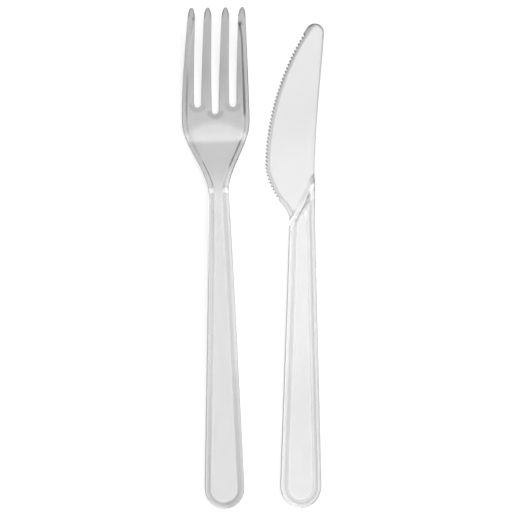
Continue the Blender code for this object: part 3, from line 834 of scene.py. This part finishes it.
EDGE_INSETS = (0, 0.0003, 0.0007, TOOTH_BAND, EDGE_BEVEL, 0.0021, 0.0029, 0.0040)
SPINE_INSETS = (0, 0.0002, SPINE_BEVEL, 0.0008, 0.0012, 0.0017, 0.0023, 0.0030)
BLADE_SHARES = (0.1, 0.23, 0.36, 0.5, 0.64, 0.77, 0.9)


def knife_half_width(along):
    share = (along - KNIFE_END_DEPTH) / (HEEL_ALONG - KNIFE_END_DEPTH)
    return float(mix(KNIFE_HANDLE_WIDTH, KNIFE_NECK_WIDTH, share)) / 2


def bezier(first, pull, push, last, steps):
    """Points along a cubic curve, its first point left out."""
    points = []
    for i in range(1, steps + 1):
        t = i / steps
        u = 1 - t
        points.append(u**3 * first + 3 * u * u * t * pull + 3 * u * t * t * push + t**3 * last)
    return points


def tip_point(turn):
    return TIP_CENTRE + TIP_RADIUS * Vector((math.cos(turn), math.sin(turn)))


def toothed_edge():
    """The line through the teeth's points, from the last tooth up round the belly."""
    start = tip_point(math.pi - TIP_EDGE_LEAN)
    out = Vector((math.sin(TIP_EDGE_LEAN), math.cos(TIP_EDGE_LEAN)))
    back = Vector((math.sin(LAST_TOOTH_LEAN), -math.cos(LAST_TOOTH_LEAN)))
    upper, lower = start.y - BELLY.y, BELLY.y - LAST_TOOTH.y
    down = [start] + bezier(start, start - out * upper * TIP_PULL,
                            BELLY + Vector((0, upper * BELLY_PULLS[0])), BELLY, CURVE_STEPS)
    down += bezier(BELLY, BELLY - Vector((0, lower * BELLY_PULLS[1])),
                   LAST_TOOTH - back * lower * LAST_TOOTH_PULL, LAST_TOOTH, BELLY_STEPS)
    return down[::-1]


def heel():
    """The plain concave curve from the handle up to the last tooth."""
    end = Vector((HEEL_NOTCH - KNIFE_NECK_WIDTH / 2, HEEL_ALONG))
    back = Vector((math.sin(HEEL_LEAN), -math.cos(HEEL_LEAN)))
    drop = LAST_TOOTH.y - end.y
    curve = bezier(LAST_TOOTH, LAST_TOOTH + back * drop * HEEL_PULLS[0],
                   end + Vector((0, drop * HEEL_PULLS[1])), end, HEEL_STEPS)
    return curve[::-1]


def spine(low):
    """The straight back of the blade from a given height, then its curve, then the tip."""
    start = Vector((KNIFE_NECK_WIDTH / 2, SPINE_START))
    end = tip_point(0)
    run = (end - start).y
    curve = bezier(start, start + Vector((0, run * SPINE_PULLS[0])),
                   end - Vector(((end - start).x, run)) * SPINE_PULLS[1], end, CURVE_STEPS)
    arc = [tip_point(math.radians(turn)) for turn in range(2, TIP_BACK + 1)]
    path = [Vector((KNIFE_NECK_WIDTH / 2, low))]
    return path + [point for point in curve if point.y > low] + arc


def spread(path, count):
    """Even places along a path, its ends kept."""
    steps = [0.0] + [(far - near).length for near, far in zip(path, path[1:])]
    lengths = np.cumsum(steps)
    wanted = np.linspace(0, lengths[-1], count + 1)
    x = np.interp(wanted, lengths, [point.x for point in path])
    y = np.interp(wanted, lengths, [point.y for point in path])
    return [Vector(pair) for pair in zip(x, y)]


def length_of(path):
    return sum((far - near).length for near, far in zip(path, path[1:]))


def skew_row(spine_along, slope, fall):
    """Both ends of a straight row that crosses the handle at a slope, before its fall."""
    ends = []
    for side in (-1, 1):
        half = KNIFE_NECK_WIDTH / 2
        for _ in range(6):           # the row's end and the handle's width settle together
            along = spine_along + slope * (side * half - KNIFE_NECK_WIDTH / 2)
            half = knife_half_width(along - fall(side * half))
        ends.append(Vector((side * half, along)))
    return ends


def bolster_bend(x):
    """How far the bolster's line bends back where it nears the spine."""
    past = np.clip((x - KNIFE_NECK_WIDTH / 2) / BOLSTER_CORNER + 1, 0, 1)
    return BOLSTER_BEND * past ** 1.4


def squared_off(x, inset):
    """How far into the squared corner of the recess's end a point lies, across the knife."""
    return np.maximum(0.0, x - KNIFE_NECK_WIDTH / 2 + inset + POCKET_CORNER)


def recess_end(x):
    """Where the recess's oblique end lies along the knife: its floor and its top."""
    across = x - KNIFE_NECK_WIDTH / 2
    floor = POCKET_END + POCKET_SLOPE * (across - squared_off(x, KNIFE_FOOT))
    top = POCKET_TOP + POCKET_SLOPE * (across - squared_off(x, KNIFE_RIM))
    return floor, top


def knife_height(x, y, edge_in, spine_in, side_in):
    """Height of the knife's upper face, from its lines and the distances to its sides."""
    across = x - KNIFE_NECK_WIDTH / 2
    floor, top = recess_end(x)
    into_pocket = (side_in - KNIFE_RIM) / KNIFE_WALL
    along_pocket = (top - y) / (top - floor)
    handle = mix(KNIFE_HEIGHT, KNIFE_WEB, min(into_pocket, along_pocket))
    bolster_top = BOLSTER_FOOT - BOLSTER_RUN + BOLSTER_SLOPE * across - bolster_bend(x)
    on_blade = min(1.0, max(0.0, (y - bolster_top) / BOLSTER_RUN))
    edge_share = max(0.0, 1 - edge_in / EDGE_BEVEL)
    spine_share = max(0.0, 1 - spine_in / SPINE_BEVEL)
    blade = BLADE_THICKNESS - max(EDGE_DROP * edge_share, SPINE_DROP * spine_share)
    return float(mix(handle, blade, on_blade))


def knife_row(left, right, left_insets, right_insets, facings, fall=lambda x: 0.0):
    """Points from the left side to the right one, closer together at both."""
    row = []
    step = right - left
    width = step.length
    slants = [max(LEAST_SLANT, abs(step.normalized().dot(facing))) for facing in facings]
    reach = left_insets[-1] / slants[0] + right_insets[-1] / slants[1]
    squeeze = min(1.0, ROW_FILL * width / reach)
    starts = [inset * squeeze / slants[0] for inset in left_insets]
    ends = [width - inset * squeeze / slants[1] for inset in right_insets]
    inner = [starts[-1] + (ends[-1] - starts[-1]) * share for share in BLADE_SHARES]
    for place in starts + inner + ends[::-1]:
        point = left + step * (place / width)
        point.y -= fall(point.x)
        row.append((point.x, point.y, place * slants[0], (width - place) * slants[1]))
    return row


def outward(path, index):
    """Unit normal of a path at one of its points."""
    step = path[min(index + 1, len(path) - 1)] - path[max(index - 1, 0)]
    return Vector((step.y, -step.x)).normalized()


def blend_insets(start, end, share):
    return [first + (last - first) * share for first, last in zip(start, end)]


def knife_cage():
    """The knife's plan as a cage of rows: level, then oblique, then from edge to spine."""
    half = knife_half_width(KNIFE_END_DEPTH)
    foot = half - HANDLE_INSETS[-1]
    shares = (0,) + BLADE_SHARES + (1,)
    places = [inset - half for inset in HANDLE_INSETS[:-1]]
    places += [foot * (2 * share - 1) for share in shares]
    places += [half - inset for inset in reversed(HANDLE_INSETS[:-1])]
    rows = []
    for row in end_rows(places, HANDLE_INSETS, half, KNIFE_END_DEPTH):
        rows.append([(x, y, inset, inset, inset, 0.0, 0.0, 0.0, 0.0) for x, y, inset in row])
    sideways = (Vector((-1, 0)), Vector((1, 0)))

    def add(row, toothed=0.0, length=0.0, inward=(0.0, 0.0)):
        rows.append([(x, y, left, right, min(left, right), toothed, length, *inward)
                     for x, y, left, right in row])

    for along in even(KNIFE_END_DEPTH, SKEW_START, KNIFE_STEP):
        ends = (Vector((-knife_half_width(along), along)), Vector((knife_half_width(along), along)))
        add(knife_row(*ends, HANDLE_INSETS, HANDLE_INSETS, sideways))
    for i in range(1, SKEW_ROWS):
        share = i / SKEW_ROWS
        slope = POCKET_SLOPE * float(ease(share))

        def fall(x):
            return slope * squared_off(x, KNIFE_FOOT)

        ends = skew_row(SKEW_START + (POCKET_END - SKEW_START) * share, slope, fall)
        add(knife_row(*ends, HANDLE_INSETS, HANDLE_INSETS, sideways, fall))
    bolster_top = BOLSTER_FOOT - BOLSTER_RUN
    middle = KNIFE_RIM + KNIFE_WALL / 2
    # Each oblique row: its place on the spine and slope, how much of it is squared off and at
    # what inset, how much bends with the bolster, and how far it has turned into a blade's row
    oblique = [
        (POCKET_END - 0.0006, POCKET_SLOPE, 1, KNIFE_FOOT, 0, 0),
        (POCKET_END, POCKET_SLOPE, 1, KNIFE_FOOT, 0, 0),
        ((POCKET_END + POCKET_TOP) / 2, POCKET_SLOPE, 1, middle, 0, 0),
        (POCKET_TOP, POCKET_SLOPE, 1, KNIFE_RIM, 0, 0),
        (POCKET_TOP + 0.0004, POCKET_SLOPE + 0.08, 0.9, KNIFE_RIM, 0.2, 0.2),
        (POCKET_TOP + 0.0012, POCKET_SLOPE + 0.12, 0.68, KNIFE_RIM, 0.35, 0.25),
        (bolster_top - 0.0004, BOLSTER_SLOPE, 0, KNIFE_RIM, 0.8, 0.4),
        (bolster_top, BOLSTER_SLOPE, 0, KNIFE_RIM, 1, 0.5),
        ((bolster_top + BOLSTER_FOOT) / 2, BOLSTER_SLOPE, 0, KNIFE_RIM, 1, 0.6),
        (BOLSTER_FOOT, BOLSTER_SLOPE, 0, KNIFE_RIM, 1, 0.7),
        (BOLSTER_FOOT + 0.0005, BOLSTER_SLOPE, 0, KNIFE_RIM, 0.8, 0.8),
        (BOLSTER_FOOT + 0.0014, BOLSTER_SLOPE, 0, KNIFE_RIM, 0.4, 0.9),
    ]
    for spine_along, slope, squared, inset, bend, share in oblique:
        def fall(x):
            return squared * slope * squared_off(x, inset) + bend * bolster_bend(x)

        ends = skew_row(spine_along, slope, fall)
        lefts = blend_insets(HANDLE_INSETS, EDGE_INSETS, share)
        rights = blend_insets(HANDLE_INSETS, SPINE_INSETS, share)
        add(knife_row(*ends, lefts, rights, sideways, fall))

    teeth = toothed_edge()
    count = round(length_of(teeth) / TOOTH_PITCH)
    edge = heel()
    plain = len(edge)
    edge += spread(teeth, TOOTH_ROWS * count)
    back = spread(spine(BACK_START), len(edge) - 1)
    for i, (left, right) in enumerate(zip(edge, back)):
        facings = (outward(edge, i) * -1, outward(back, i))
        toothed = 1.0 if plain < i < len(edge) - TOOTH_ROWS * PLAIN_PITCHES else 0.0
        length = (i - plain) * TOOTH_PITCH / TOOTH_ROWS
        row = knife_row(left, right, EDGE_INSETS, SPINE_INSETS, facings)
        add(row, toothed, length, tuple(outward(edge, i)))
    for i in range(1, TIP_ROWS + 1):
        share = i / TIP_ROWS
        left = tip_point(math.pi - TIP_EDGE_LEAN - math.radians(TIP_TURNS[0]) * share)
        right = tip_point(math.radians(TIP_BACK + TIP_TURNS[1] * share))
        facings = ((left - TIP_CENTRE).normalized(), (right - TIP_CENTRE).normalized())
        add(knife_row(left, right, EDGE_INSETS, SPINE_INSETS, facings))

    cells = sheet_cells(len(rows), len(rows[0]), len(HANDLE_INSETS), lambda row, column: True)
    points = {}
    for cell in cells:
        for row, column in cell:
            x, y, left, right, side, toothed, length, inward_x, inward_y = rows[row][column]
            height = knife_height(x, y, left, right, side)
            points[row, column] = {
                "x": x, "y": y, "across": x, "along": y, "edge_in": left, "spine_in": right,
                "side_in": side, "height": height, "toothed": toothed, "edge_length": length,
                "inward_x": inward_x, "inward_y": inward_y,
            }
    cage = solid_cage("knife_clear", cells, points, KNIFE_SOFT_EDGE)
    sharpen_teeth(cage.data)
    return cage


def sharpen_teeth(mesh):
    """Keeps the upright edges at the points and roots of the teeth sharp."""
    toothed = stored(mesh, "toothed")
    phase = stored(mesh, "edge_length") / TOOTH_PITCH * 2
    crease = mesh.attributes.new("crease_edge", "FLOAT", "EDGE")
    for edge in mesh.edges:
        near, far = edge.vertices
        upright = (mesh.vertices[near].co - mesh.vertices[far].co).length < SAME
        if upright and toothed[near] > 0.5 and abs(phase[near] - round(phase[near])) < 0.01:
            crease.data[edge.index].value = 1.0


def knife_shaping():
    """Raises the cage to its heights and presses the teeth into the edge."""
    sizes = {"Tooth Pitch": TOOTH_PITCH, "Tooth Depth": TOOTH_DEPTH, "Tooth Band": TOOTH_BAND}
    form = Shaping("cut_teeth", sizes)
    place = form.stored("edge_length") / form.size("Tooth Pitch") * 2.0
    wave = place.math("PINGPONG", 1.0)
    near = (form.stored("edge_in") / form.size("Tooth Band")).within() * -1.0 + 1.0
    bite = wave * near * form.stored("toothed") * form.size("Tooth Depth")
    height = form.stored("height")
    hold = (height * 0.3 / KNIFE_SOFT_EDGE).within()
    rise = form.stored("level") * height + form.stored("shift") * hold
    form.moved(form.stored("inward_x") * bite, form.stored("inward_y") * bite, rise)
    return form


# Painted shade along the knife's length, and the stretches of its painted light and dark marks
KNIFE_PAINTED_SHADE_AT = (0.0, 0.0390, 0.0600, 0.1000, 0.1250, 0.1414, 0.1590)
KNIFE_PAINTED_SHADE = (0.695, 0.67, 0.725, 0.74, 0.70, 0.655, 0.675)
TIP_FADE = (0.1380, 0.1650)
LIGHT_BEVEL_FADE = (0.1350, 0.1480)
GREY_SPINE_FADE = (0.1400, 0.1580)
TIP_LINE_FADE = (0.1726, 0.1742)
TIP_EDGE_FADE = (0.1690, 0.1715)
BOLSTER_EDGE = (0.1140, 0.1155, 0.1172, 0.1185)
BOLSTER_CORNER_ALONG = 0.1192
RECESS_LINE = -0.45          # past the top of the recess's end, as a share of its wall


def blade_painted_light(mesh, along, edge_in, spine_in, blade):
    """Painted dark teeth, a bevel painted lighter low on the blade, and a dark rim round the tip.
    """
    tip = ramp(along, *TIP_FADE)
    phase = np.mod(stored(mesh, "edge_length") / TOOTH_PITCH, 1.0)
    tooth_painted_shade = 0.43 + 0.14 * (phase > 0.55)
    teeth = stored(mesh, "toothed") * (1 - ramp(edge_in, 0.0002, 0.0007))
    painted_light = 1 - blade * teeth * tooth_painted_shade
    band = EDGE_BEVEL * (0.75 + 0.25 * tip)
    bevel = blade * (1 - ramp(edge_in, band - 0.0002, band + 0.0001))
    heel_side = 1 - ramp(along, LAST_TOOTH.y - 0.0004, LAST_TOOTH.y + 0.0004)
    low = (1 - ramp(along, *LIGHT_BEVEL_FADE)) * ramp(edge_in, 0.0004, 0.0008)
    painted_light *= 1 + bevel * (0.08 + 0.28 * low + 0.20 * heel_side - 0.20 * tip)
    painted_light *= line(edge_in, 0.0, 0.0003, 0.22 * blade * heel_side)
    along_spine = blade * (1 - ramp(spine_in, 0.0004, 0.0009))
    painted_light *= 1 + along_spine * (0.05 - 0.17 * ramp(along, *GREY_SPINE_FADE))
    rim_in = np.minimum(edge_in, spine_in)
    painted_light *= line(rim_in, 0.0003, 0.0006, 0.50 * ramp(along, *TIP_LINE_FADE))
    return painted_light * line(rim_in, 0.0, 0.0005, 0.25 * ramp(along, *TIP_EDGE_FADE))


def bolster_painted_light(along, across, spine_in, from_bolster):
    """Painted light on the bolster's wall and crest, and grey shade spots where it meets the spine.
    """
    light = 0.34 * glow(from_bolster, BOLSTER_RUN / 2, BOLSTER_RUN * 0.6)
    light += 0.15 * glow(from_bolster, -0.0002, 0.0005)
    painted_light = 1 + light * ramp(spine_in, 0.0002, 0.0008)
    painted_light *= line(from_bolster, 0.0024, 0.0005, 0.35 * ramp(across, 0.0022, 0.0030))
    corner = np.hypot(spine_in - 0.0003, (along - BOLSTER_CORNER_ALONG) * 0.5)
    return painted_light * line(corner, 0.0, 0.0005, 0.30)


def knife_handle_painted_light(mesh, along, across, from_bolster):
    """Painted light walls round the recess, a dark line at its oblique end, a light ridge past it.
    """
    side_in = stored(mesh, "side_in")
    floor, top = recess_end(across)
    into_end = (top - along) / (top - floor)
    handle = 1 - ramp(from_bolster, -0.0030, -0.0020)
    right = handle * right_side(across)
    left = handle - right
    wall = glow(side_in, KNIFE_RIM + KNIFE_WALL / 2, 0.0008)
    painted_light = 1 + 0.40 * handle * wall * ramp(into_end, 0.0, 0.8)
    painted_light *= 1 + 0.28 * left * (1 - ramp(side_in, 0.0001, 0.0005))
    painted_light *= line(side_in, 0.0008, 0.0006, 0.11 * right)
    painted_light *= line(side_in, KNIFE_RIM, 0.0002, 0.10 * left)
    painted_light *= 1 + 0.10 * right * glow(side_in, KNIFE_RIM + 0.0001, 0.0004)
    inside = ramp(side_in, KNIFE_RIM, KNIFE_RIM + 0.0006) * ramp(into_end, -1.1, -0.8)
    painted_light *= 1 + 0.45 * inside * glow(into_end, 0.75, 0.55)
    upper_face = stored(mesh, "level")
    painted_light *= line(into_end, RECESS_LINE, 0.46, 0.98 * inside * upper_face)
    ridge = ramp(-from_bolster, -0.0004, 0.0006) * ramp(-into_end, 0.0, 0.2)
    return painted_light * (1 + 0.16 * ridge)


def knife_painted_shading(mesh):
    """Painted shade and light on the knife: dark teeth and bevels, a light bolster."""
    along, across = stored(mesh, "along"), stored(mesh, "across")
    edge_in, spine_in = stored(mesh, "edge_in"), stored(mesh, "spine_in")
    from_bolster = along - BOLSTER_FOOT + BOLSTER_RUN + bolster_bend(across)
    from_bolster -= BOLSTER_SLOPE * (across - KNIFE_NECK_WIDTH / 2)
    blade = ramp(from_bolster, 0.0, BOLSTER_RUN)
    tone = np.interp(along, KNIFE_PAINTED_SHADE_AT, KNIFE_PAINTED_SHADE)
    tone *= blade_painted_light(mesh, along, edge_in, spine_in, blade)
    tone *= bolster_painted_light(along, across, spine_in, from_bolster)
    tone *= knife_handle_painted_light(mesh, along, across, from_bolster)
    # A painted dark line along the spine beside the bolster
    back_edge = line(spine_in, 0.0, 0.0006, 0.35 * stretch(along, BOLSTER_EDGE))
    store_painted_shading(mesh, np.minimum(tone, 1.0) * back_edge)


knife_finish = clear_plastic("knife_polystyrene")
knife = moulded(knife_cage(), knife_shaping(), knife_finish, KNIFE_TURN, "knife")
knife_painted_shading(knife.data)
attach(knife, "root")
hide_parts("knife")

# Table, light and camera
# A plain white table top under one large soft lamp, with dimmer walls round it. The table
# also glows where it is seen directly, in a gloss or through the plastic, so it stays white.
CAMERA_TILT = math.radians(8.4)
CAMERA_REACH = 1.6
SENSOR_WIDTH = 36.0
FRAME_WIDTH = 0.1847         # of table seen across the picture
LOOK_AT = Vector((0.00107, 0.0009, 0.0010))
TABLE_SIZE = 4.0
TABLE_TOP = -0.00002         # a hair under the pieces, which stand at zero
TABLE_GREY = 0.45
TABLE_GLOW = 0.62
LAMP_GLOW = 3.2
LAMP_EDGE = math.cos(math.radians(32))
LAMP_CORE = math.cos(math.radians(3))
WALL_GLOWS = (0.30, 0.75)    # level with the table, and high up
WALL_HIGH = 0.8


def white_table():
    material = bpy.data.materials.new("white_table")
    material.use_nodes = True
    material.cycles.emission_sampling = "NONE"
    tree = material.node_tree
    nodes, links = tree.nodes, tree.links
    nodes.clear()
    output = nodes.new("ShaderNodeOutputMaterial")
    paper = nodes.new("ShaderNodeBsdfDiffuse")
    paper.inputs["Color"].default_value = (TABLE_GREY, TABLE_GREY, TABLE_GREY, 1)
    path = nodes.new("ShaderNodeLightPath")
    direct, gloss, through = (
        Field(tree, path.outputs[f"Is {way} Ray"]) for way in ("Camera", "Glossy", "Transmission")
    )
    strength = (direct + gloss + through).within() * TABLE_GLOW
    shine = nodes.new("ShaderNodeEmission")
    links.new(strength.socket, shine.inputs["Strength"])
    both = nodes.new("ShaderNodeAddShader")
    links.new(paper.outputs[0], both.inputs[0])
    links.new(shine.outputs[0], both.inputs[1])
    links.new(both.outputs[0], output.inputs["Surface"])
    return material


bpy.ops.mesh.primitive_plane_add(size=TABLE_SIZE, location=(0, 0, TABLE_TOP))
table = bpy.context.object
table.name = "table"
table.data.materials.append(white_table())

world = bpy.data.worlds.new("studio")
bpy.context.scene.world = world
world.use_nodes = True
sky = world.node_tree
toward = sky.nodes.new("ShaderNodeTexCoord")
facing = sky.nodes.new("ShaderNodeVectorMath")
facing.operation = "DOT_PRODUCT"
facing.inputs[1].default_value = (math.sin(CAMERA_TILT), 0, math.cos(CAMERA_TILT))
sky.links.new(toward.outputs["Generated"], facing.inputs[0])
lamp = ranged(sky, facing.outputs["Value"], 0.0, LAMP_GLOW, LAMP_EDGE, LAMP_CORE)
lamp.interpolation_type = "SMOOTHSTEP"
walls = ranged(sky, facing.outputs["Value"], *WALL_GLOWS, 0.0, WALL_HIGH)
level = Field(sky, lamp.outputs["Result"]) + Field(sky, walls.outputs["Result"])
sky.links.new(level.socket, sky.nodes["Background"].inputs["Strength"])
sky.nodes["Background"].inputs["Color"].default_value = (1, 1, 1, 1)

lens = bpy.data.cameras.new("camera")
camera = bpy.data.objects.new("camera", lens)
bpy.context.scene.collection.objects.link(camera)
bpy.context.scene.camera = camera
lens.sensor_width = SENSOR_WIDTH
lens.lens = SENSOR_WIDTH * CAMERA_REACH / FRAME_WIDTH
lens.clip_start = 0.01
camera.rotation_euler = (0, -CAMERA_TILT, 0)
lean = Vector((-math.sin(CAMERA_TILT), 0, math.cos(CAMERA_TILT)))
camera.location = LOOK_AT + lean * CAMERA_REACH
bpy.context.scene.view_settings.view_transform = "Standard"
